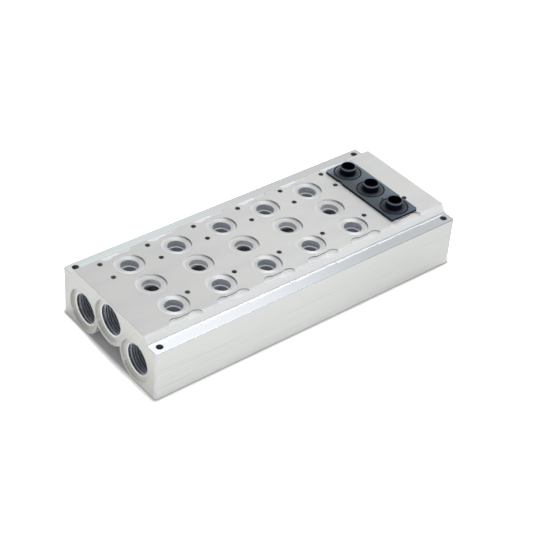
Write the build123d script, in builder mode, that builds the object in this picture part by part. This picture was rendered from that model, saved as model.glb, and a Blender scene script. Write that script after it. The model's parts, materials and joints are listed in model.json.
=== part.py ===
from build123d import *
import os

# Air manifold block for six valve stations, in millimetres.
# X runs along the block, +Y to its rear edge, +Z up. The origin is on the base plane, under the centre.

# valve stations along the block
station_count = 6
station_pitch = 26.0
end_margin = 23.0

# seal seats and air holes of a station: one in each of three rows
seat_radius = 7.2
seat_depth = 0.9
seat_land = 2.8
air_hole_radius = 4.1
air_hole_pass_offset = 0.3
air_hole_pass_angle = 118
throat_radius = 3.55
outer_ledge_depth = 4.3
middle_ledge_depth = 3.4

# threaded end ports and the galleries behind them
thread_radius = 8.33
thread_length = 14.0
gallery_radius = 7.2
spot_face_radius = 10.3
spot_face_depth = 1.3
row_inset = 3.6
middle_rise = 7.9

# extruded section
outer_lobe_wall = 1.4
middle_lobe_wall = 1.7
roof_over_spot_face = 0.6
plateau_margin = 3.1
step_run = 2.5
flange_drop = 4.1
flange_width = 6.8
base_radius = 0.6
edge_radius = 0.3
corner_bevel = 0.8
end_bevel = 0.3

# tapped holes for the valves, and the through holes in the flanges
screw_radius = 1.5
screw_depth = 7.0
screw_left = 11.3
screw_right = 9.9
rear_screw_edge = 3.3
valve_step = 11.0
front_screw_reach = 13.8
fixing_radius = 1.7
fixing_side_inset = 3.6
fixing_end_inset = 4.4

# shallow pockets milled into both long edges of the plateau
small_pocket_radius = 3.8
small_pocket_left = 6.1
small_pocket_bite = 2.7
small_pocket_depth = 0.8
large_pocket_radius = 4.0
large_pocket_right = 4.2
large_pocket_bite = 2.2
large_pocket_depth = 1.3
link_bite = 1.75

# moulded plate with three spigots on the last station
plate_thickness = 1.0
plate_left = 8.5
plate_right = 8.4
plate_rear_margin = 3.0
plate_front_margin = 2.3
plate_large_chamfer = 1.0
plate_small_chamfer = 0.4
plate_edge_break = 0.1
rear_notch_radius = 3.3
front_notch_radius = 2.2
spigot_radius = 4.0
spigot_bore_radius = 3.2
spigot_height = 3.8
spigot_rim_slope = 0.45
spigot_rim_height = 0.8
spigot_foot = 0.3
tail_clearance = 0.2
tail_gap = 0.3
groove_inset = 0.3
groove_width = 0.45
groove_depth = 0.4
gate_mark_radius = 0.55
gate_mark_shift = 0.7

# sealing rings under the plate
seal_width = 2.1
seal_clearance = 0.1

# lengths and places that follow from the values above
block_length = (station_count - 1) * station_pitch + 2 * end_margin
half_length = block_length / 2
row_spacing = 2 * seat_radius + seat_land
rows = (-row_spacing, 0, row_spacing)
ledge_depths = (outer_ledge_depth, middle_ledge_depth, outer_ledge_depth)
port_offset = row_spacing + row_inset
outer_lobe_radius = spot_face_radius + outer_lobe_wall
middle_lobe_radius = spot_face_radius + middle_lobe_wall
outer_port_height = outer_lobe_radius
middle_port_height = outer_port_height + middle_rise
block_height = middle_port_height + spot_face_radius + roof_over_spot_face
flange_height = block_height - flange_drop
half_plateau = row_spacing + seat_radius + plateau_margin
half_step = half_plateau + step_run
half_width = half_step + flange_width
ports = (
    (-port_offset, outer_port_height),
    (0, middle_port_height),
    (port_offset, outer_port_height),
)
stations = [
    (index - (station_count - 1) / 2) * station_pitch for index in range(station_count)
]
plate_station = stations[-1]
rear_screw_y = half_plateau - rear_screw_edge
station_screws = (
    (-screw_left, rear_screw_y),
    (-screw_left, rear_screw_y - valve_step),
    (screw_right, -front_screw_reach),
)
channel_roof = (outer_port_height + middle_port_height) / 2


# manifold block: an extruded bar, machined on its top and at both ends
with BuildPart() as manifold_block:
    # section of the bar, seen along its length: stepped top, three lobes round the galleries
    with BuildSketch(Plane.YZ.offset(-half_length)) as section:
        with BuildLine():
            Polyline(
                (-half_width, 0),
                (-half_width, flange_height),
                (-half_step, flange_height),
                (-half_plateau, block_height),
                (half_plateau, block_height),
                (half_step, flange_height),
                (half_width, flange_height),
                (half_width, 0),
                close=True,
            )
        make_face()
        top_corners = section.vertices().group_by(Axis.Y)[1:]
        fillet(top_corners, radius=edge_radius)
        fillet(section.vertices().group_by(Axis.Y)[0], radius=base_radius)
        with Locations((0, channel_roof / 2)):
            Rectangle(2 * port_offset, channel_roof, mode=Mode.SUBTRACT)
        with Locations((-port_offset, outer_port_height), (port_offset, outer_port_height)):
            Circle(outer_lobe_radius)
        with Locations((0, middle_port_height)):
            Circle(middle_lobe_radius)
    extrude(amount=block_length)

    # upright corners bevelled
    with BuildSketch(Plane.XY) as outline:
        Rectangle(block_length, 2 * half_width)
        chamfer(outline.vertices(), length=corner_bevel)
    extrude(amount=block_height, mode=Mode.INTERSECT)

    # sawn ends, their top edges broken
    for end_face in (
        manifold_block.faces().sort_by(Axis.X)[0],
        manifold_block.faces().sort_by(Axis.X)[-1],
    ):
        outline_edges = end_face.outer_wire().edges()
        lowest = flange_height - edge_radius
        chamfer(outline_edges.filter_by_position(Axis.Z, lowest, block_height), length=end_bevel)

    # galleries from end to end, each with a spot-faced thread bore at both ends
    with BuildSketch(Plane.YZ.offset(-half_length)):
        with Locations(*ports):
            Circle(gallery_radius)
    extrude(amount=block_length, mode=Mode.SUBTRACT)
    for end_plane in (
        Plane(origin=(half_length, 0, 0), x_dir=(0, 1, 0), z_dir=(1, 0, 0)),
        Plane(origin=(-half_length, 0, 0), x_dir=(0, -1, 0), z_dir=(-1, 0, 0)),
    ):
        with Locations(end_plane):
            with Locations(*ports):
                CounterBoreHole(
                    radius=thread_radius,
                    counter_bore_radius=spot_face_radius,
                    counter_bore_depth=spot_face_depth,
                    depth=spot_face_depth + thread_length,
                )

    # air holes of each row: seal seat, hole down to a ledge, then a throat into the gallery
    # the hole is milled in two passes a little apart, so its rim has two faint corners
    for row, ledge_depth, port in zip(rows, ledge_depths, ports):
        with Locations(*((station, row, block_height) for station in stations)):
            Hole(radius=seat_radius, depth=seat_depth)
            Hole(radius=throat_radius, depth=block_height - port[1])
            with PolarLocations(air_hole_pass_offset, 2, start_angle=air_hole_pass_angle):
                Hole(radius=air_hole_radius, depth=ledge_depth)

    # tapped holes of each station, and the fixing holes in the corners of the flanges
    with Locations(*((station, 0, block_height) for station in stations)):
        with Locations(*station_screws):
            Hole(radius=screw_radius, depth=screw_depth)
    with Locations((0, 0, flange_height)):
        with GridLocations(
            block_length - 2 * fixing_end_inset, 2 * (half_width - fixing_side_inset), 2, 2
        ):
            Hole(radius=fixing_radius, depth=flange_height)

    # edge pockets: a small and a large round one, linked, at each station and on both long edges
    for side in (-1, 1):
        small_y = side * (half_plateau + small_pocket_radius - small_pocket_bite)
        large_y = side * (half_plateau + large_pocket_radius - large_pocket_bite)
        link_length = small_pocket_left + large_pocket_right
        link_middle = (large_pocket_right - small_pocket_left) / 2
        link_width = link_bite + step_run
        link_y = side * (half_plateau - link_bite + link_width / 2)
        with BuildSketch(Plane.XY.offset(block_height)):
            with Locations(*((station - small_pocket_left, small_y) for station in stations)):
                Circle(small_pocket_radius)
            with Locations(*((station + link_middle, link_y) for station in stations)):
                Rectangle(link_length, link_width)
        extrude(amount=-small_pocket_depth, mode=Mode.SUBTRACT)
        with BuildSketch(Plane.XY.offset(block_height)):
            with Locations(*((station + large_pocket_right, large_y) for station in stations)):
                Circle(large_pocket_radius)
        extrude(amount=-large_pocket_depth, mode=Mode.SUBTRACT)


# spigot plate: a flat moulding with a tube through it on each air hole
plate_rear = half_plateau - plate_rear_margin
plate_front = half_plateau - plate_front_margin
plate_top = block_height + plate_thickness
tail_radius = air_hole_radius - tail_clearance
groove_radius = seat_radius - groove_inset
with BuildPart() as spigot_plate:
    with BuildSketch(Plane.XY.offset(block_height)) as plate_outline:
        with BuildLine():
            Polyline(
                (plate_station - plate_left, -plate_front),
                (plate_station + plate_right, -plate_front),
                (plate_station + plate_right, plate_rear),
                (plate_station - plate_left, plate_rear),
                close=True,
            )
        make_face()
        corners = plate_outline.vertices().sort_by(Axis.X)
        left_corners = corners[:2].sort_by(Axis.Y)
        right_corners = corners[2:].sort_by(Axis.Y)
        chamfer([left_corners[1], right_corners[0]], length=plate_large_chamfer)
        chamfer([left_corners[0], right_corners[1]], length=plate_small_chamfer)
        # round notches that leave the tapped holes beside the plate free
        notch_radii = (rear_notch_radius, front_notch_radius)
        for (across, along), notch_radius in zip(station_screws[1:], notch_radii):
            with Locations((plate_station + across, along)):
                Circle(notch_radius, mode=Mode.SUBTRACT)
    extrude(amount=plate_thickness)
    chamfer(spigot_plate.faces().sort_by(Axis.Z)[-1].edges(), length=plate_edge_break)

    # grooves round the spigots, and the gate mark beside the front one
    with BuildSketch(Plane.XY.offset(plate_top)):
        with Locations(*((plate_station, row) for row in rows)):
            Circle(groove_radius)
            Circle(groove_radius - groove_width, mode=Mode.SUBTRACT)
        gate_mark_reach = groove_radius + 1.4 * gate_mark_radius
        with Locations((plate_station - gate_mark_shift, -row_spacing + gate_mark_reach)):
            Circle(gate_mark_radius)
    extrude(amount=-groove_depth, mode=Mode.SUBTRACT)

    # spigots above the plate with a sloped rim, tails below it, and one bore through each
    for row, ledge_depth in zip(rows, ledge_depths):
        spigot_top = plate_top + spigot_height
        tail_end = block_height - ledge_depth + tail_gap
        with BuildSketch(Plane.XZ.offset(-row)):
            with BuildLine():
                Polyline(
                    (plate_station, tail_end),
                    (plate_station + tail_radius, tail_end),
                    (plate_station + tail_radius, block_height),
                    (plate_station + spigot_radius + spigot_foot, block_height),
                    (plate_station + spigot_radius + spigot_foot, plate_top),
                    (plate_station + spigot_radius, plate_top + spigot_foot),
                    (plate_station + spigot_radius, spigot_top - spigot_rim_height),
                    (plate_station + spigot_radius - spigot_rim_slope, spigot_top),
                    (plate_station, spigot_top),
                    close=True,
                )
            make_face()
        revolve(axis=Axis((plate_station, row, 0), (0, 0, 1)))
        with Locations((plate_station, row, spigot_top)):
            Hole(radius=spigot_bore_radius, depth=spigot_top - tail_end)


def seal_ring(row):
    """One flat sealing ring, pressed between its seat and the plate."""
    outer = seat_radius - seal_clearance
    with BuildPart() as ring:
        with BuildSketch(Plane.XZ.offset(-row)):
            with Locations(
                (plate_station + outer - seal_width / 2, block_height - seat_depth / 2)
            ):
                Rectangle(seal_width, seat_depth)
        revolve(axis=Axis((plate_station, row, 0), (0, 0, 1)))
    return ring.part


seal_names = ("seal_ring_front", "seal_ring_middle", "seal_ring_rear")

os.makedirs("parts", exist_ok=True)
manifold_block.part.label = "manifold_block"
export_step(manifold_block.part, "parts/manifold_block.step")
spigot_plate.part.label = "spigot_plate"
export_step(spigot_plate.part, "parts/spigot_plate.step")
for seal_name, row in zip(seal_names, rows):
    ring_part = seal_ring(row)
    ring_part.label = seal_name
    export_step(ring_part, f"parts/{seal_name}.step")
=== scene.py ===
import json
import math

import bmesh
import bpy
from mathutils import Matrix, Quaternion, Vector

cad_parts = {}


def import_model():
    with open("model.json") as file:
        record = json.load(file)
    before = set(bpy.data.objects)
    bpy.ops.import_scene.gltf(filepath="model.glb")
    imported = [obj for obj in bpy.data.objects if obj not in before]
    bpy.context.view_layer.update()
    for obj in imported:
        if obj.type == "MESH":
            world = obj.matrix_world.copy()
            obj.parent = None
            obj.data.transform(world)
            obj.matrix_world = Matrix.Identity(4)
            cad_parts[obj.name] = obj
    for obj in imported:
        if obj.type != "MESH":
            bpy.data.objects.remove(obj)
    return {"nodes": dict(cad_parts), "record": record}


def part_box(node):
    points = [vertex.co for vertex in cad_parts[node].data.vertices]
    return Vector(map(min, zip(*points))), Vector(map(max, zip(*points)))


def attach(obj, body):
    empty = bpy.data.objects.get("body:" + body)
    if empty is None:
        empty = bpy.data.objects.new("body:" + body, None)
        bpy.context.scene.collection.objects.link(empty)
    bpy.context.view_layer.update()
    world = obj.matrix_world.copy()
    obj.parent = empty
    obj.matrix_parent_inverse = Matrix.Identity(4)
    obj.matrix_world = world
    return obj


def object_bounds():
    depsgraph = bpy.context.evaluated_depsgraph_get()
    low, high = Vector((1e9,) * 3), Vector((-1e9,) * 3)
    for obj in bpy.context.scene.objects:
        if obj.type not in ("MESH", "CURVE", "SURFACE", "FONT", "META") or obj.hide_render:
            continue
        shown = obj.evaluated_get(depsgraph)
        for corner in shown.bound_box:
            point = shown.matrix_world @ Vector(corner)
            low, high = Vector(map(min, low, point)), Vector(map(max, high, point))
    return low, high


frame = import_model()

# Air manifold block, dressed. Everything here is in metres, in the row frame.
# Each material works in millimetres, from the place of a point on the object.

cad_low, cad_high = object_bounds()

MM = 0.001
mounts = {mount["name"]: mount for mount in frame["record"]["mounts"]}

# the camera
camera_place = Vector((-0.36105, -0.42081, 0.44381))
camera_aim = Vector((-0.00002, -0.00199, 0.01305))
camera_roll = math.radians(4.188)
camera_lens = 99.984

# the studio: its brightness changes at these heights, given as sines of the elevation
rim_height = 0.02
horizon_height = 0.1
upper_height = 0.5
rim_light = 1.0
horizon_light = 0.9
upper_light = 0.59

# soft panels and a dark gap in the studio: direction of the centre, full and outer half angles
# in degrees, added brightness
panels = (
    ((0.42, 0.56, 0.71), 1.2, 11.4, 0.48),
    ((0.93, 0.20, 0.30), 8, 30, 1.0),
    ((0.40, 0.00, 0.917), 5, 15, 7.4),
    ((0.515, -0.236, 0.836), 8, 25, -0.42),
)

# the floor: its white as light meets it, as metal shows it, and as the camera sees it; near the
# block the camera-seen white drops, a painted shadow over the rendered one
floor_half = 3.0
lit_white = 0.93
mirrored_white = 1.2
open_white = 2.8
painted_shadow_white = 1.1

# width of the painted contact shadow on the floor, in millimetres: at the ends it narrows to the
# rear
side_painted_shadow = 4.0
end_painted_shadow = (36.0, -20.0, 2.0, 4.0)

# painted shadow: how the floor darkens at the block's edge, by the distance past it in widths of
# that shadow
painted_edge_shadow = (-0.2, 0.15, 0.6, 1.0)

# sizes of the block's features, in millimetres
block_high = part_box("manifold_block")[1]
half_length = block_high.x / MM
half_width = block_high.y / MM
block_height = block_high.z / MM
flange_height = block_height - 4.1
step_foot = half_width - 6.8
foot_reach = 0.35
foot_middle = flange_height + 0.15
foot_half_height = 0.25
edge_radius = 0.3
station_pitch = 26.0
row_spacing = 17.2
seat_radius = 7.2
seat_depth = 0.9
rows_reach = 1.5 * row_spacing
stations_reach = 3 * station_pitch
air_hole_reach = 4.55
air_hole_end = 18.5
throat_radius = 3.6
middle_ledge_depth = 3.4
outer_ledge_depth = 4.3
spot_face_radius = 10.3
spot_face_depth = 1.3
spot_wall_margin = 0.02
port_bore_end = 15.5
small_pocket_depth = 0.8
large_pocket_depth = 1.3

# how near a point has to be to count as on a face, on a shallow floor, or on a bore
edge_slack = 0.06
floor_slack = 0.04
bore_slack = 0.1

# slopes that tell faces apart: a part of the normal, and how much it may vary
upright = (0.0, 0.1)
step_slope = (0.52, 0.05)
edge_slope = (0.6, 0.36)

# tapped holes of a station, from its centre, in millimetres
screw_left = 11.3
screw_right = 9.9
rear_screw_reach = 24.2
rear_screw_step = 11.0
front_screw_reach = 13.8
screw_depth = 7.0
screw_wall_end = 8.0
screw_reach = 1.7

# port threads and screw threads, in millimetres
port_pitch = 1.337
port_crest_radius = 7.48
port_root_radius = mounts["port_left_middle"]["dims"]["r_mm"]
port_thread_run = 13.4
port_lead_in = 0.33
screw_pitch = 0.5
screw_crest_radius = 1.23
screw_end_gap = 0.4
wall_bite = 0.06
land_sink = 0.01
port_land_reach = 0.35
screw_land_reach = 0.03

# a thread's profile, in pitches, and its run-out, in turns
first_crest = 0.9
flank_reach = 0.46
crest_reach = 0.08
land_crest = 0.2
land_foot = 0.6
run_out = 0.6

# the spigot plate
plate_x = 2.5 * station_pitch
spigot_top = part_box("spigot_plate")[1].z / MM
plate_top = block_height + 1.0
spigot_rim_height = 0.8
spigot_rim_radius = 3.57
groove_radius = 6.67
groove_reach = 0.35

# grain: how much it is stretched along each axis, its noise scale and its detail
cloud_stretch = (0.3, 1.0, 1.0)
cloud_grain = (0.12, 3.0)
line_stretch = (0.01, 1.0, 1.0)
line_grain = (1.6, 4.0)
score_shift = (3.0, 7.0, 0.0)
score_grain = (1.5, 5.0)
thread_grain = (1.4, 3.0)
moulding_grain = (3.0, 4.0)
rubber_grain = (4.0, 3.0)

# slopes of the drawn lines, of the conical ledges, and of the turned rings with their spacing
line_slope = 0.04
ledge_slope = -0.8
ring_slope = 0.12
ring_spacing = 0.35

# painted highlight: the two bright wedges painted on the seats where the turned rings would throw
# the light
painted_highlight_direction = (0.5, 0.866)
painted_highlight_power = 6.0
front_painted_highlight = (-8.0, -12.0, 0.08, 0.5)
rear_painted_highlight = (8.0, 12.0, 0.0, 0.22)

# smooth changes: where they start and end, then the values there, which are 0 and 1 if not given
cloud_tone = (0.3, 0.7, 0.98, 1.02)
line_tone = (-0.25, 0.25, 0.985, 1.015)
score_share = (0.56, 0.66)
score_height = (21.0, 15.0)
# painted contact shadow: a darker strip along the base
base_painted_shadow = (0.15, 0.7, 0.5, 1.0)
top_patches = (0.35, 0.6)
# painted light along the milled top: brighter from the left end to the middle, a little darker
# towards the right end
top_left_painted_light = (-60.0, 0.0, 1.02, 1.07)
top_right_painted_shade = (10.0, 60.0, 1.0, 0.975)
# painted shade on the left of the rear flange, brighter to its right
rear_flange_light_span = (-70.0, 60.0)
# painted light on the outer band of each seat
seat_outer_painted_light = (5.2, 6.6, 1.0, 1.22)
# painted shade on the seat walls by the way they face, and on the upper edge of the pocket walls
seat_wall_painted_shade = (0.05, 0.95, 0.9, 0.26)
pocket_wall_painted_shade = (block_height - 0.65, block_height - 0.35, 1.0, 0.14)
# painted light on the small pocket floors, fading towards their left
small_pocket_painted_fade = (-6.0, 0.5, 0.93, 0.97)
# how far a thread flank must face out of its hole to get its painted light
flank_light_facing = (0.3, 0.7)
thread_tone = (0.3, 0.7, 0.9, 1.1)
moulding_tone = (0.3, 0.7, 0.88, 1.12)
# painted light and shade on the moulding's flat top: darker round the tubes and on the left, paler
# at both ends
plate_painted_span = (-22.0, -8.0)
plate_tube_painted_shade = (4.5, 7.5, 0.35, 1.0)
plate_along_painted_light = (58.0, 73.0, 0.68, 1.25)
plate_rear_painted_light = (18.0, 23.0, 1.0, 2.4)
plate_front_painted_light = (-17.0, -23.0, 1.0, 1.6)
rubber_tone = (0.3, 0.7, 0.012, 0.02)
rubber_roughness = (0.3, 0.7, 0.55, 0.7)

# tones of the scores; painted shade at the sides' far end; painted light and shade on the ends' low
# part; painted light on the large pockets, more at the front
score_depth = 0.09
far_side_painted_shade = 0.91
far_shade_start = -20.0
low_end_painted_top = 18.0
low_end_painted_front = 1.01
low_end_painted_rear = 0.98
large_pocket_painted_rear = 0.8
large_pocket_painted_front = 0.95

# base colours of the block's surfaces; several carry painted light or shade, as noted
plain_metal = (0.70, 0.716, 0.74)
milled_metal = (0.665, 0.665, 0.675)
milled_green = (0.665, 0.675, 0.66)
# painted light on the front of the end faces, painted shade on their rear
front_end_painted_light = (0.77, 0.77, 0.743)
rear_end_painted_shade = (0.64, 0.64, 0.62)
spot_wall_metal = (0.80, 0.80, 0.78)
side_metal = (0.735, 0.747, 0.731)
step_metal = (0.92, 0.93, 0.93)
front_flange_metal = (0.87, 0.92, 0.955)
# painted shade on the left of the rear flange, painted light on its right
rear_flange_painted_shade_left = (0.81, 0.88, 0.88)
rear_flange_painted_light_right = (0.97, 0.98, 0.99)
# painted light on the small pocket floors
small_pocket_painted_light = (0.97, 0.99, 1.0)
seat_metal = (0.665, 0.67, 0.677)
# painted shade in the outer rows' holes and throats, painted light in the middle row's
outer_hole_painted_shade = (0.58, 0.62, 0.67)
middle_hole_painted_light = (0.75, 0.76, 0.79)
outer_throat_painted_shade = (0.52, 0.56, 0.63)
middle_throat_painted_light = (0.60, 0.64, 0.72)
ledge_metal = (0.88, 0.88, 0.88)
# painted shade in the tapped holes and the port bores
screw_hole_painted_shade = (0.07, 0.075, 0.10)
port_bore_painted_shade = (0.304, 0.336, 0.392)
# painted shade on the rounded outer edges of the flanges and in the hollow at the steps' foot
edge_metal = (0.42, 0.43, 0.47)
foot_painted_shade = (0.66, 0.69, 0.72)

# colours of the threads: painted shade in their depth, painted light on the flanks that look out,
# and the land at the mouth, whose pale port colour is a painted highlight
port_painted_shade = (0.40, 0.43, 0.50)
port_painted_light = (0.88, 0.91, 0.96)
# painted highlight: the pale land of the ports
port_land = (0.96, 0.96, 0.93)
screw_painted_shade = (0.10, 0.105, 0.13)
screw_painted_light = (0.34, 0.35, 0.38)
screw_land = (0.69, 0.69, 0.69)

# colours of the black moulding, with painted shade in its grooves, painted light and shade on its
# flat top and a painted highlight on the tubes' rims
tube_black = (0.0015, 0.0025, 0.008)
# painted shade in the grooves
groove_painted_shade = (0.008, 0.011, 0.018)
# painted light and shade on the flat top, darker to the front, paler to the rear
front_plate_painted_shade = (0.066, 0.086, 0.115)
rear_plate_painted_light = (0.136, 0.166, 0.195)
# painted highlight on the tubes' rims
rim_painted_highlight = (0.13, 0.155, 0.18)


class NodeDraft:
    """One node tree, with short ways to write arithmetic on sockets and numbers."""

    def __init__(self, tree):
        self.tree = tree
        tree.nodes.clear()

    def node(self, kind, **settings):
        made = self.tree.nodes.new(kind)
        for name, value in settings.items():
            setattr(made, name, value)
        return made

    def feed(self, socket, value):
        if isinstance(value, bpy.types.NodeSocket):
            self.tree.links.new(value, socket)
        elif socket.type == "RGBA":
            socket.default_value = (*value, 1.0)
        else:
            socket.default_value = value

    def math(self, operation, *values):
        made = self.node("ShaderNodeMath", operation=operation)
        for socket, value in zip(made.inputs, values):
            self.feed(socket, value)
        return made.outputs[0]

    def vector(self, operation, *values):
        made = self.node("ShaderNodeVectorMath", operation=operation)
        for socket, value in zip(made.inputs, values):
            self.feed(socket, value)
        return made.outputs["Vector"]

    def scaled(self, vector, factor):
        made = self.node("ShaderNodeVectorMath", operation="SCALE")
        self.feed(made.inputs[0], vector)
        self.feed(made.inputs["Scale"], factor)
        return made.outputs["Vector"]

    def split(self, vector):
        made = self.node("ShaderNodeSeparateXYZ")
        self.feed(made.inputs[0], vector)
        return made.outputs[0], made.outputs[1], made.outputs[2]

    def join(self, x, y, z):
        made = self.node("ShaderNodeCombineXYZ")
        for socket, value in zip(made.inputs, (x, y, z)):
            self.feed(socket, value)
        return made.outputs[0]

    def grey(self, value):
        return self.join(value, value, value)

    def near(self, value, centre, slack=edge_slack):
        return self.math("COMPARE", value, centre, slack)

    def below(self, value, limit):
        return self.math("LESS_THAN", value, limit)

    def above(self, value, limit):
        return self.math("GREATER_THAN", value, limit)

    def both(self, first, second):
        return self.math("MULTIPLY", first, second)

    def either(self, first, second):
        return self.math("MAXIMUM", first, second)

    def total(self, first, second):
        return self.math("ADD", first, second)

    def less(self, value, taken):
        return self.math("SUBTRACT", value, taken)

    def reach(self, across, up):
        """Distance from an axis, from two offsets across it."""
        squares = self.total(self.math("POWER", across, 2.0), self.math("POWER", up, 2.0))
        return self.math("SQRT", squares)

    def away(self, across, up, centre):
        """Distance from an axis that passes through a centre in the plane of two coordinates."""
        return self.reach(self.less(across, centre[0]), self.less(up, centre[1]))

    def ramp(self, value, start, end, low=0.0, high=1.0):
        made = self.node("ShaderNodeMapRange", interpolation_type="SMOOTHSTEP")
        for socket, given in zip(made.inputs, (value, start, end, low, high)):
            self.feed(socket, given)
        return made.outputs[0]

    def mix(self, share, first, second):
        made = self.node("ShaderNodeMix", data_type="FLOAT")
        self.feed(made.inputs["Factor"], share)
        self.feed(made.inputs["A"], first)
        self.feed(made.inputs["B"], second)
        return made.outputs[0]

    def mix_colour(self, share, first, second):
        made = self.node("ShaderNodeMix", data_type="RGBA")
        sockets = [socket for socket in made.inputs if socket.enabled]
        for socket, value in zip(sockets, (share, first, second)):
            self.feed(socket, value)
        return [socket for socket in made.outputs if socket.enabled][0]

    def layered(self, blend, under, layers):
        """A value or colour, covered by each layer in turn where the layer's mask is 1."""
        for mask, over in layers:
            under = blend(mask, under, over)
        return under

    def noise(self, vector, scale, detail):
        made = self.node("ShaderNodeTexNoise")
        self.feed(made.inputs["Vector"], vector)
        self.feed(made.inputs["Scale"], scale)
        self.feed(made.inputs["Detail"], detail)
        return made.outputs[0]

    def place_in_mm(self):
        """A point's place on the object, in millimetres."""
        place = self.node("ShaderNodeTexCoord").outputs["Object"]
        return self.scaled(place, 1 / MM)

    def surface(self, shader_output):
        out = self.node("ShaderNodeOutputMaterial")
        self.tree.links.new(shader_output, out.inputs["Surface"])


def new_material(name):
    material = bpy.data.materials.new(name)
    material.use_nodes = True
    return material


def screw_places():
    """Tapped holes of a station: offsets from its centre, in millimetres."""
    return (
        (-screw_left, rear_screw_reach),
        (-screw_left, rear_screw_reach - rear_screw_step),
        (screw_right, -front_screw_reach),
    )


class BlockDraft(NodeDraft):
    """The block's metal. Its masks tell the surfaces apart by place and by the way they face."""

    def __init__(self, tree):
        super().__init__(tree)
        self.place = self.place_in_mm()
        self.x, self.y, self.z = self.split(self.place)
        self.normal = self.node("ShaderNodeNewGeometry").outputs["Normal"]
        self.normal_x, self.normal_y, self.normal_z = self.split(self.normal)
        self.distance_x = self.math("ABSOLUTE", self.x)
        self.distance_y = self.math("ABSOLUTE", self.y)
        self.front_half = self.below(self.y, 0.0)
        self.mark_faces()
        self.mark_air_holes()
        self.mark_shallow_walls()
        self.mark_flange_edges()
        self.mark_screw_holes()
        self.mark_ports()
        self.mark_grain()

    def mark_faces(self):
        """The flat faces, each at its own height or distance."""
        self.top = self.near(self.z, block_height)
        self.seat = self.near(self.z, block_height - seat_depth, floor_slack)
        self.end = self.near(self.distance_x, half_length)
        self.spot = self.near(self.distance_x, half_length - spot_face_depth)
        self.flange = self.near(self.z, flange_height)
        self.side = self.near(self.distance_y, half_width)
        self.small_pocket = self.near(self.z, block_height - small_pocket_depth, floor_slack)
        self.large_pocket = self.near(self.z, block_height - large_pocket_depth, floor_slack)

    def mark_air_holes(self):
        """The air holes between their seats and the galleries, with their ledges and throats."""
        wrapped_x = self.math("WRAP", self.x, station_pitch, 0.0)
        self.seat_x = self.less(wrapped_x, station_pitch / 2)
        seat_y = self.math("WRAP", self.y, row_spacing / 2, -row_spacing / 2)
        self.seat_r = self.reach(self.seat_x, seat_y)
        self.outward = self.vector("NORMALIZE", self.join(self.seat_x, seat_y, 0.0))
        self.middle_row = self.below(self.distance_y, row_spacing / 2)
        self.in_stations = self.below(self.distance_x, stations_reach)
        self.in_rows = self.both(self.in_stations, self.below(self.distance_y, rows_reach))
        in_hole = self.below(self.z, block_height - seat_depth - edge_slack)
        in_hole = self.both(in_hole, self.above(self.z, air_hole_end))
        in_hole = self.both(in_hole, self.below(self.seat_r, air_hole_reach))
        self.in_hole = self.both(in_hole, self.in_rows)
        ledge_levels = self.either(
            self.near(self.z, block_height - middle_ledge_depth),
            self.near(self.z, block_height - outer_ledge_depth),
        )
        self.ledge = self.both(self.in_hole, ledge_levels)
        self.throat = self.both(self.in_hole, self.below(self.seat_r, throat_radius))

    def mark_shallow_walls(self):
        """The upright walls of the seats and of the edge pockets."""
        wall = self.above(self.z, block_height - large_pocket_depth + edge_slack)
        wall = self.both(wall, self.below(self.z, block_height - land_sink))
        wall = self.both(wall, self.near(self.normal_z, *upright))
        self.shallow_wall = self.both(wall, self.in_stations)
        self.at_seat = self.both(self.in_rows, self.near(self.seat_r, seat_radius, bore_slack))
        self.at_pocket = self.both(self.shallow_wall, self.less(1.0, self.at_seat))

    def mark_flange_edges(self):
        """The steps, the narrow hollow at their foot, and the rounded outer edges."""
        self.step = self.near(self.normal_z, *step_slope)
        foot = self.near(self.distance_y, step_foot, foot_reach)
        self.foot = self.both(foot, self.near(self.z, foot_middle, foot_half_height))
        edge = self.both(
            self.above(self.distance_y, half_width - edge_radius),
            self.above(self.z, flange_height - edge_radius),
        )
        self.edge = self.both(edge, self.near(self.normal_z, *edge_slope))

    def mark_screw_holes(self):
        """The walls of the tapped holes."""
        in_screw = 0.0
        for screw_place in screw_places():
            hole_r = self.away(self.seat_x, self.y, screw_place)
            in_screw = self.either(in_screw, self.below(hole_r, screw_reach))
        in_screw = self.both(in_screw, self.below(self.z, block_height - bore_slack))
        in_screw = self.both(in_screw, self.above(self.z, block_height - screw_wall_end))
        self.in_screw = self.both(in_screw, self.in_stations)

    def mark_ports(self):
        """The ports' bores and the upright walls of their spot faces."""
        outer_port = Vector(mounts["port_left_rear"]["pos_m"]) / MM
        middle_port = Vector(mounts["port_left_middle"]["pos_m"]) / MM
        port_r = self.math(
            "MINIMUM",
            self.away(self.distance_y, self.z, (outer_port.y, outer_port.z)),
            self.away(self.y, self.z, (middle_port.y, middle_port.z)),
        )
        bore_start = half_length - spot_face_depth - bore_slack
        in_port = self.below(self.distance_x, bore_start)
        in_port = self.both(in_port, self.above(self.distance_x, half_length - port_bore_end))
        self.in_port = self.both(in_port, self.below(port_r, port_root_radius + bore_slack))
        half_depth = spot_face_depth / 2
        spot_wall = self.both(
            self.near(self.normal_x, *upright),
            self.near(self.distance_x, half_length - half_depth, half_depth - spot_wall_margin),
        )
        self.spot_wall = self.both(spot_wall, self.near(port_r, spot_face_radius, bore_slack))

    def mark_grain(self):
        """Soft clouds, drawn lines along the bar, and a few deeper ones low on the sides."""
        cloud_place = self.vector("MULTIPLY", self.place, cloud_stretch)
        self.cloud = self.noise(cloud_place, *cloud_grain)
        self.drawn = self.either(self.flange, self.side)
        line_place = self.vector("MULTIPLY", self.place, line_stretch)
        self.lines = self.less(self.noise(line_place, *line_grain), 0.5)
        score_place = self.vector("ADD", line_place, score_shift)
        scores = self.ramp(self.noise(score_place, *score_grain), *score_share)
        low_scores = self.both(scores, self.ramp(self.z, *score_height))
        self.scores = self.both(low_scores, self.side)

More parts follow.
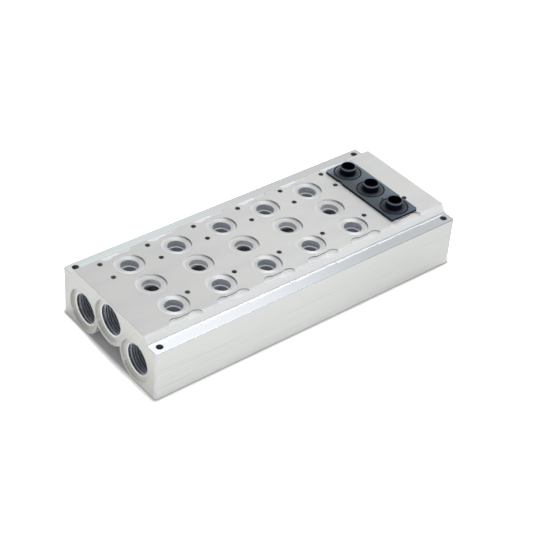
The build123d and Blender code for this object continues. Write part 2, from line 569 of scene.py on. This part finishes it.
    def leaning_normal(self):
        """The normal, tilted by the turned rings, the drawn lines and the conical ledges."""
        waves = self.math("SINE", self.both(self.seat_r, 2 * math.pi / ring_spacing))
        waves = self.both(waves, self.both(self.seat, ring_slope))
        seat_lean = self.scaled(self.outward, waves)
        across_lines = self.vector("CROSS_PRODUCT", self.normal, (1.0, 0.0, 0.0))
        lines = self.both(self.lines, self.both(self.drawn, line_slope))
        line_lean = self.scaled(across_lines, lines)
        ledge_lean = self.scaled(self.outward, self.both(self.ledge, ledge_slope))
        lean = self.vector("ADD", seat_lean, line_lean)
        lean = self.vector("ADD", lean, ledge_lean)
        return self.vector("NORMALIZE", self.vector("ADD", self.normal, lean))

    def tone(self):
        """Slow changes of brightness, scores, painted shade towards the far end of the sides, and a
        painted contact shadow: the dark strip along the base.
        """
        clouds = self.ramp(self.cloud, *cloud_tone)
        lines = self.ramp(self.lines, *line_tone)
        lines = self.less(lines, self.both(self.scores, score_depth))
        # painted shade towards the far end of the sides
        far_side_shade = self.mix(self.side, 1.0, far_side_painted_shade)
        lines = self.both(lines, self.ramp(self.x, far_shade_start, half_length, 1.0, far_side_shade))
        return self.both(self.mix(self.drawn, clouds, lines), self.ramp(self.z, *base_painted_shadow))

    def top_colour(self):
        patches = self.ramp(self.cloud, *top_patches)
        milled = self.mix_colour(patches, milled_metal, milled_green)
        # painted light and shade along the bar, over the milled metal's own patches
        milled = self.scaled(milled, self.ramp(self.x, *top_left_painted_light))
        return self.scaled(milled, self.ramp(self.x, *top_right_painted_shade))

    def end_colour(self):
        rearward = self.ramp(self.y, -half_width, half_width)
        # painted light at the front of the end faces and painted shade at the rear, with painted
        # light and shade on their low part
        sawn = self.mix_colour(rearward, front_end_painted_light, rear_end_painted_shade)
        low_end_painted_light = self.mix(rearward, low_end_painted_front, low_end_painted_rear)
        return self.scaled(sawn, self.ramp(self.z, 0.0, low_end_painted_top, low_end_painted_light, 1.0))

    def flange_colour(self):
        # painted shade on the left of the rear flange
        rightward = self.ramp(self.x, *rear_flange_light_span)
        rear = self.mix_colour(rightward, rear_flange_painted_shade_left, rear_flange_painted_light_right)
        return self.mix_colour(self.front_half, rear, front_flange_metal)

    def seat_colour(self):
        """Turned seats with a painted highlight: two bright wedges, strongest in the front row, and
        painted light on a pale outer band.
        """
        outward_x, outward_y = self.split(self.outward)[:2]
        along_wedge = self.total(
            self.both(outward_x, painted_highlight_direction[0]), self.both(outward_y, painted_highlight_direction[1])
        )
        wedge = self.math("POWER", self.math("ABSOLUTE", along_wedge), painted_highlight_power)
        gain = self.total(self.ramp(self.y, *front_painted_highlight), self.ramp(self.y, *rear_painted_highlight))
        # painted highlight: the wedges brighten the seat colour
        turned = self.scaled(seat_metal, self.total(self.both(wedge, gain), 1.0))
        return self.scaled(turned, self.ramp(self.seat_r, *seat_outer_painted_light))

    def shallow_wall_colour(self):
        """Painted shade: seat walls darken towards the left end, pocket walls have a dark upper
        edge.
        """
        wall_side = self.less(self.both(self.normal_y, 0.5), self.normal_x)
        seat_wall_shade = self.ramp(wall_side, *seat_wall_painted_shade)
        pocket_wall_shade = self.ramp(self.z, *pocket_wall_painted_shade)
        return self.grey(self.mix(self.at_seat, pocket_wall_shade, seat_wall_shade))

    def base_colour(self):
        # painted light on the pocket floors: small ones fade towards their left, large ones are
        # paler at the front
        small_pocket_light_fade = self.ramp(self.seat_x, *small_pocket_painted_fade)
        small_pocket_colour = self.scaled(small_pocket_painted_light, small_pocket_light_fade)
        large_pocket_painted_light = self.mix(self.front_half, large_pocket_painted_rear, large_pocket_painted_front)
        large_pocket_colour = self.grey(large_pocket_painted_light)
        # painted shade in the outer rows' holes and throats, painted light in the middle row's
        hole_colour = self.mix_colour(self.middle_row, outer_hole_painted_shade, middle_hole_painted_light)
        throat_colour = self.mix_colour(self.middle_row, outer_throat_painted_shade, middle_throat_painted_light)
        layers = (
            (self.either(self.end, self.spot), self.end_colour()),
            (self.spot_wall, spot_wall_metal),
            (self.side, side_metal),
            (self.step, step_metal),
            (self.flange, self.flange_colour()),
            (self.top, self.top_colour()),
            (self.small_pocket, small_pocket_colour),
            (self.large_pocket, large_pocket_colour),
            (self.seat, self.seat_colour()),
            (self.shallow_wall, self.shallow_wall_colour()),
            (self.in_hole, hole_colour),
            (self.throat, throat_colour),
            (self.ledge, ledge_metal),
            # painted shade in the tapped holes and port bores
            (self.in_screw, screw_hole_painted_shade),
            (self.in_port, port_bore_painted_shade),
            # painted shade on the flange edges and the steps' foot
            (self.edge, edge_metal),
            (self.foot, foot_painted_shade),
        )
        base = self.layered(self.mix_colour, plain_metal, layers)
        return self.scaled(base, self.tone())

    def roughness(self):
        layers = (
            (self.flange, 0.09),
            (self.step, 0.40),
            (self.top, 0.5),
            (self.seat, 0.38),
            (self.end, 0.45),
            (self.in_hole, 0.55),
            (self.ledge, 0.35),
        )
        return self.layered(self.mix, 0.42, layers)

    def metallic(self):
        """Full metal but where fine tool marks scatter the light."""
        layers = (
            (self.seat, 0.5),
            (self.in_hole, 0.4),
            (self.small_pocket, 0.6),
            (self.large_pocket, self.mix(self.front_half, 0.8, 0.2)),
            (self.step, 0.12),
            (self.foot, 0.75),
            (self.at_pocket, 0.3),
            (self.ledge, 1.0),
        )
        return self.layered(self.mix, 1.0, layers)


def aluminium_material():
    """Natural aluminium: milled top, turned seats and ports, drawn flanges and sides, sawn ends.
    Its base colour also carries painted light and shade.
    """
    material = new_material("natural_aluminium")
    draft = BlockDraft(material.node_tree)
    shader = draft.node("ShaderNodeBsdfPrincipled")
    draft.feed(shader.inputs["Metallic"], draft.metallic())
    draft.feed(shader.inputs["Base Color"], draft.base_colour())
    draft.feed(shader.inputs["Roughness"], draft.roughness())
    draft.feed(shader.inputs["Normal"], draft.leaning_normal())
    draft.surface(shader.outputs[0])
    return material


def thread_material(name, shade, shine, land_colour, along_bar):
    """Cut thread: painted shade in its depth, painted light on the flanks that look out of the
    hole.
    """
    material = new_material(name)
    draft = NodeDraft(material.node_tree)
    place = draft.place_in_mm()
    x, z = draft.split(place)[::2]
    normal = draft.node("ShaderNodeNewGeometry").outputs["Normal"]
    normal_x, normal_z = draft.split(normal)[::2]
    if along_bar:
        outward = draft.both(normal_x, draft.math("SIGN", x))
        land = draft.near(draft.math("ABSOLUTE", x), half_length - spot_face_depth, port_land_reach)
        metallic = draft.mix(land, 1.0, 0.4)
    else:
        outward = normal_z
        land = draft.near(z, block_height, screw_land_reach)
        metallic = 1.0
    base = draft.mix_colour(draft.ramp(outward, *flank_light_facing), shade, shine)
    base = draft.mix_colour(land, base, land_colour)
    tone = draft.ramp(draft.noise(place, *thread_grain), *thread_tone)
    shader = draft.node("ShaderNodeBsdfPrincipled")
    shader.inputs["Roughness"].default_value = 0.34
    draft.feed(shader.inputs["Metallic"], metallic)
    draft.feed(shader.inputs["Base Color"], draft.scaled(base, tone))
    draft.surface(shader.outputs[0])
    return material


def moulding_material():
    """Black moulding: its flat top is painted paler than its tubes as painted light, its grooves
    carry painted shade, and the tubes' rims carry a pale painted highlight.
    """
    material = new_material("black_moulding")
    draft = NodeDraft(material.node_tree)
    place = draft.place_in_mm()
    x, y, z = draft.split(place)
    flat_top = draft.near(z, plate_top)
    row_y = draft.math("WRAP", y, row_spacing / 2, -row_spacing / 2)
    tube_r = draft.away(x, row_y, (plate_x, 0.0))
    rim = draft.above(z, spigot_top - spigot_rim_height + bore_slack)
    rim = draft.both(rim, draft.above(tube_r, spigot_rim_radius))
    groove = draft.near(tube_r, groove_radius, groove_reach)
    grain = draft.noise(place, *moulding_grain)
    tone = draft.ramp(grain, *moulding_tone)

    # painted light and shade: the flat top is darker round the tubes and on the left, and paler at
    # both ends
    top_painted_light = draft.mix_colour(draft.ramp(y, *plate_painted_span), front_plate_painted_shade, rear_plate_painted_light)
    fades = (
        draft.ramp(tube_r, *plate_tube_painted_shade),
        draft.ramp(x, *plate_along_painted_light),
        draft.ramp(y, *plate_rear_painted_light),
        draft.ramp(y, *plate_front_painted_light),
    )
    for fade in fades:
        top_painted_light = draft.scaled(top_painted_light, fade)

    # painted shade in the grooves and a painted highlight on the rims
    layers = ((flat_top, top_painted_light), (groove, groove_painted_shade), (rim, rim_painted_highlight))
    base = draft.layered(draft.mix_colour, tube_black, layers)
    bump = draft.node("ShaderNodeBump")
    bump.inputs["Strength"].default_value = 0.25
    bump.inputs["Distance"].default_value = 0.02 * MM
    draft.feed(bump.inputs["Height"], grain)
    shader = draft.node("ShaderNodeBsdfPrincipled")
    shader.inputs["Specular IOR Level"].default_value = 0.1
    draft.feed(shader.inputs["Base Color"], draft.scaled(base, tone))
    draft.feed(shader.inputs["Roughness"], draft.mix(flat_top, 0.45, 0.3))
    draft.feed(shader.inputs["Normal"], bump.outputs[0])
    draft.surface(shader.outputs[0])
    return material


def rubber_material():
    """Black rubber of the sealing rings."""
    material = new_material("seal_rubber")
    draft = NodeDraft(material.node_tree)
    grain = draft.noise(draft.place_in_mm(), *rubber_grain)
    shader = draft.node("ShaderNodeBsdfPrincipled")
    shader.inputs["Specular IOR Level"].default_value = 0.3
    draft.feed(shader.inputs["Base Color"], draft.grey(draft.ramp(grain, *rubber_tone)))
    draft.feed(shader.inputs["Roughness"], draft.ramp(grain, *rubber_roughness))
    draft.surface(shader.outputs[0])
    return material


def dress(node_name, material):
    """Gives a CAD node its finish."""
    mesh = frame["nodes"][node_name].data
    mesh.materials.clear()
    mesh.materials.append(material)


def swept(mesh, stations):
    """A tube of quads through stations, each a list of four corners."""
    for before, after in zip(stations, stations[1:]):
        for corner in range(4):
            following = (corner + 1) % 4
            mesh.faces.new((before[corner], before[following], after[following], after[corner]))


def thread_piece(name, mouth, axis, radii, pitch, face, last, lead_in, steps, material):
    """A cut thread as one closed helical ridge. It starts and ends flush with the wall.

    A thin land joins its first crest to the wall all round, level with the face it starts in.
    """
    root_radius, crest_radius = radii
    first = face + first_crest * pitch
    inward = -Vector(axis)
    across = inward.orthogonal().normalized()
    upward = inward.cross(across)
    turns = (last - first) / pitch
    count = int(turns * steps)
    wall = root_radius + wall_bite
    mesh = bmesh.new()

    def corners(angle, profile):
        outward = across * math.cos(angle) + upward * math.sin(angle)
        return [
            mesh.verts.new((Vector(mouth) / MM + outward * radius + inward * depth) * MM)
            for radius, depth in profile
        ]

    ridge = []
    for index in range(count + 1):
        turn = turns * index / count
        depth = first + pitch * turn
        rise = min(1.0, turn / run_out, (turns - turn) / run_out)
        crest = wall + (crest_radius - wall) * rise
        profile = (
            (wall, depth - flank_reach * pitch),
            (crest, depth - crest_reach * pitch),
            (crest, depth + crest_reach * pitch),
            (wall, depth + flank_reach * pitch),
        )
        ridge.append(corners(2 * math.pi * turn, profile))
    swept(mesh, ridge)
    mesh.faces.new(ridge[0])
    mesh.faces.new(reversed(ridge[-1]))
    land = (
        (wall, face + land_sink),
        (crest_radius, face + land_sink + lead_in),
        (crest_radius, face + lead_in + land_crest * pitch),
        (wall, face + land_foot * pitch),
    )
    rings = [corners(2 * math.pi * index / steps, land) for index in range(steps)]
    swept(mesh, rings + rings[:1])
    bmesh.ops.recalc_face_normals(mesh, faces=mesh.faces)
    data = bpy.data.meshes.new(name)
    mesh.to_mesh(data)
    mesh.free()
    data.materials.append(material)
    piece = bpy.data.objects.new(name, data)
    bpy.context.scene.collection.objects.link(piece)
    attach(piece, "root")


def port_threads(material):
    for mount in mounts.values():
        if mount["kind"] != "threaded_hole":
            continue
        axis = Vector(mount["axis"])
        centre = Vector(mount["pos_m"])
        mouth = Vector((axis.x * half_length * MM, centre.y, centre.z))
        thread_piece(
            mount["name"].replace("port", "port_thread"), mouth, axis,
            radii=(port_root_radius, port_crest_radius), pitch=port_pitch,
            face=spot_face_depth, last=spot_face_depth + port_thread_run,
            lead_in=port_lead_in, steps=64, material=material,
        )


def screw_threads(material):
    hole_names = ("rear", "inner", "front")
    for mount in mounts.values():
        if not mount["name"].startswith("valve_screws"):
            continue
        station_x = mount["pos_m"][0] / MM + (screw_left - screw_right) / 2
        number = mount["name"].split("_")[-1]
        for hole_name, (offset_x, hole_y) in zip(hole_names, screw_places()):
            mouth = Vector((station_x + offset_x, hole_y, block_height)) * MM
            thread_piece(
                f"screw_thread_{number}_{hole_name}", mouth, (0, 0, 1),
                radii=(mount["dims"]["hole_r_mm"], screw_crest_radius), pitch=screw_pitch,
                face=0.0, last=screw_depth - screw_end_gap,
                lead_in=0.0, steps=20, material=material,
            )


def floor_material():
    """White floor. The camera sees it at full white away from the block, with its shadow kept; near
    the block its white drops as a painted shadow over the rendered one.
    """
    material = new_material("white_floor")
    draft = NodeDraft(material.node_tree)
    x, y = draft.split(draft.place_in_mm())[:2]
    past_end = draft.less(draft.math("ABSOLUTE", x), half_length)
    past_side = draft.less(draft.math("ABSOLUTE", y), half_width)
    past_end = draft.math("DIVIDE", past_end, draft.ramp(y, *end_painted_shadow))
    past_side = draft.math("DIVIDE", past_side, side_painted_shadow)
    gap = draft.reach(draft.either(past_end, 0.0), draft.either(past_side, 0.0))
    # painted shadow: the camera-seen white drops near the block's footprint
    seen_white = draft.ramp(gap, 0.0, 1.0, painted_shadow_white, open_white)
    outside = draft.either(past_end, past_side)
    seen_white = draft.both(seen_white, draft.ramp(outside, *painted_edge_shadow))
    ray = draft.node("ShaderNodeLightPath").outputs
    mirrored = draft.either(ray["Is Glossy Ray"], ray["Is Transmission Ray"])
    white = draft.mix(mirrored, lit_white, mirrored_white)
    white = draft.mix(ray["Is Camera Ray"], white, seen_white)
    diffuse = draft.node("ShaderNodeBsdfDiffuse")
    draft.feed(diffuse.inputs["Color"], draft.grey(white))
    draft.surface(diffuse.outputs[0])
    return material


def floor():
    data = bpy.data.meshes.new("floor")
    corners = [(-1, -1), (1, -1), (1, 1), (-1, 1)]
    places = [(x * floor_half, y * floor_half, cad_low.z) for x, y in corners]
    data.from_pydata(places, [], [(0, 1, 2, 3)])
    data.materials.append(floor_material())
    plane = bpy.data.objects.new("floor", data)
    bpy.context.scene.collection.objects.link(plane)


def world():
    """A white studio all round, with soft panels and a dark gap between them."""
    studio = bpy.data.worlds.new("studio")
    studio.use_nodes = True
    draft = NodeDraft(studio.node_tree)
    direction = draft.node("ShaderNodeTexCoord").outputs["Generated"]
    up = draft.split(direction)[2]
    light = draft.ramp(up, horizon_height, upper_height, horizon_light, upper_light)
    rim = draft.ramp(up, rim_height, horizon_height, rim_light - horizon_light, 0.0)
    light = draft.total(light, rim)
    for centre, inner, outer, strength in panels:
        product = draft.node("ShaderNodeVectorMath", operation="DOT_PRODUCT")
        draft.feed(product.inputs[0], direction)
        draft.feed(product.inputs[1], Vector(centre).normalized())
        start = math.cos(math.radians(outer))
        end = math.cos(math.radians(inner))
        light = draft.total(light, draft.ramp(product.outputs["Value"], start, end, 0.0, strength))
    background = draft.node("ShaderNodeBackground")
    draft.feed(background.inputs["Color"], (1.0, 1.0, 1.0))
    draft.feed(background.inputs["Strength"], light)
    out = draft.node("ShaderNodeOutputWorld")
    draft.tree.links.new(background.outputs[0], out.inputs["Surface"])
    bpy.context.scene.world = studio


def camera():
    data = bpy.data.cameras.new("camera")
    data.lens = camera_lens
    data.sensor_width = 36.0
    holder = bpy.data.objects.new("camera", data)
    bpy.context.scene.collection.objects.link(holder)
    holder.location = camera_place
    view = camera_aim - camera_place
    turn = Quaternion(view.normalized(), -camera_roll)
    holder.rotation_mode = "QUATERNION"
    holder.rotation_quaternion = turn @ view.to_track_quat("-Z", "Y")
    data.clip_start = 0.01
    data.clip_end = 20.0
    bpy.context.scene.camera = holder


dress("manifold_block", aluminium_material())
dress("spigot_plate", moulding_material())
rubber = rubber_material()
for row in ("front", "middle", "rear"):
    dress(f"seal_ring_{row}", rubber)
port_threads(thread_material("port_thread", port_painted_shade, port_painted_light, port_land, True))
screw_threads(thread_material("screw_thread", screw_painted_shade, screw_painted_light, screw_land, False))

floor()
world()
camera()
bpy.context.scene.view_settings.view_transform = "Standard"
